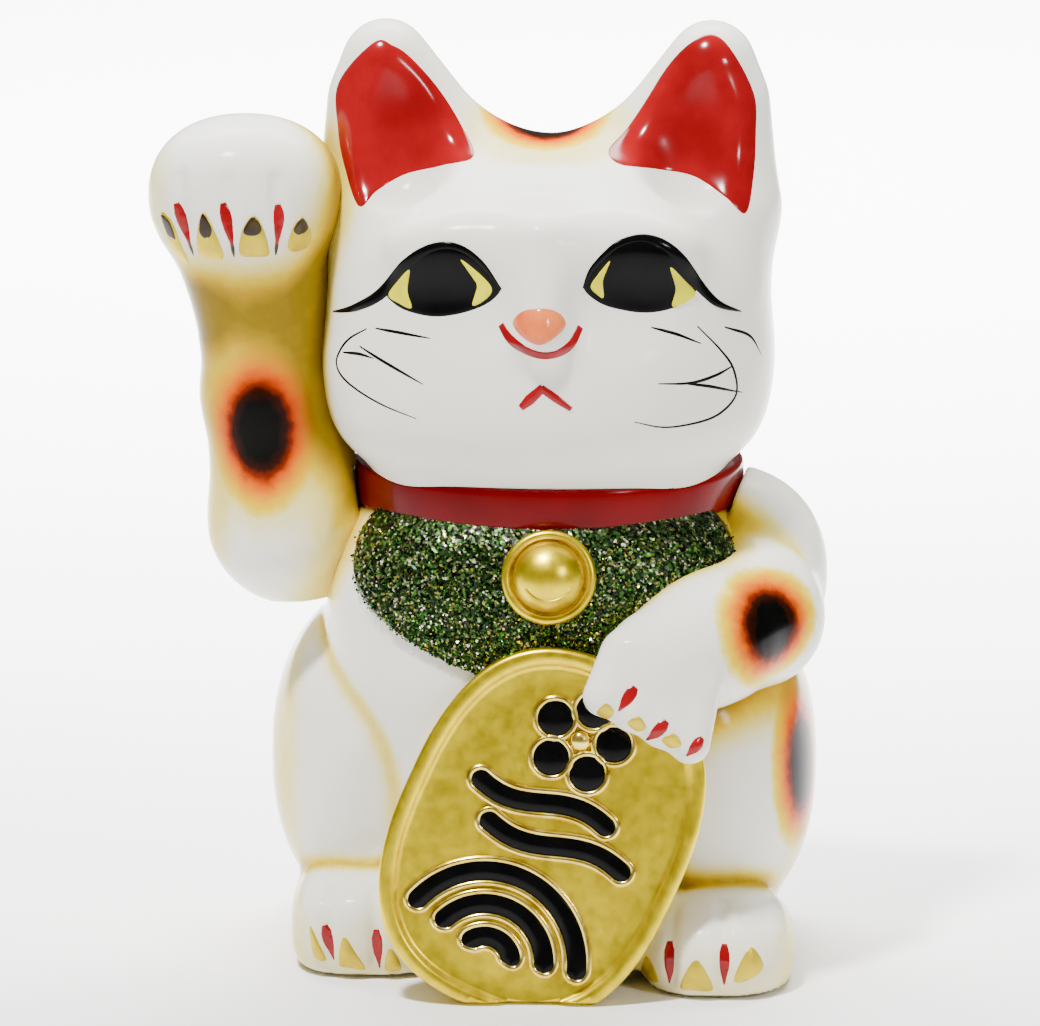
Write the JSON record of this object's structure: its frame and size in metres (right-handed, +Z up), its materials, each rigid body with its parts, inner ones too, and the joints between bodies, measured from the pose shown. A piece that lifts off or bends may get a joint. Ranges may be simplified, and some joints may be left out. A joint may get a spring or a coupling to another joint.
{
  "type": "beckoning cat figurine",
  "caption": "Glazed earthenware beckoning cat bank with a raised paw, an oval gold coin, a red collar with a bell over a glitter bib, and a rubber stopper in the base.",
  "frame": {"origin": "middle of the base disc's lower face, which the cat stands on", "axes": "+Z up, the cat faces -Y, its raised paw is at -X"},
  "size_m": [0.1671, 0.1356, 0.2319],
  "materials": {
    "white_glaze": "gloss",
    "red_glaze": "gloss",
    "green_glitter": "satin",
    "gold_lustre": "gloss",
    "black_enamel": "gloss",
    "bare_clay": "matte",
    "stopper_rubber": "matte"
  },
  "bodies": {
    "cat": {"torso_casting": "white_glaze", "head_casting": "white_glaze", "raised_arm": "white_glaze", "lowered_arm": "white_glaze", "tail": "white_glaze", "collar_band": "red_glaze", "glitter_bib": "green_glitter", "bell": "gold_lustre", "koban_coin": "gold_lustre", "koban_relief": "black_enamel", "base_plate": "bare_clay"},
    "stopper": {"stopper": "stopper_rubber"}
  },
  "joints": [
    {"name": "stopper_pull", "type": "slide", "parent": "cat", "child": "stopper", "axis": [0, 0, -1], "range_m": [0, 0.03]}
  ]
}
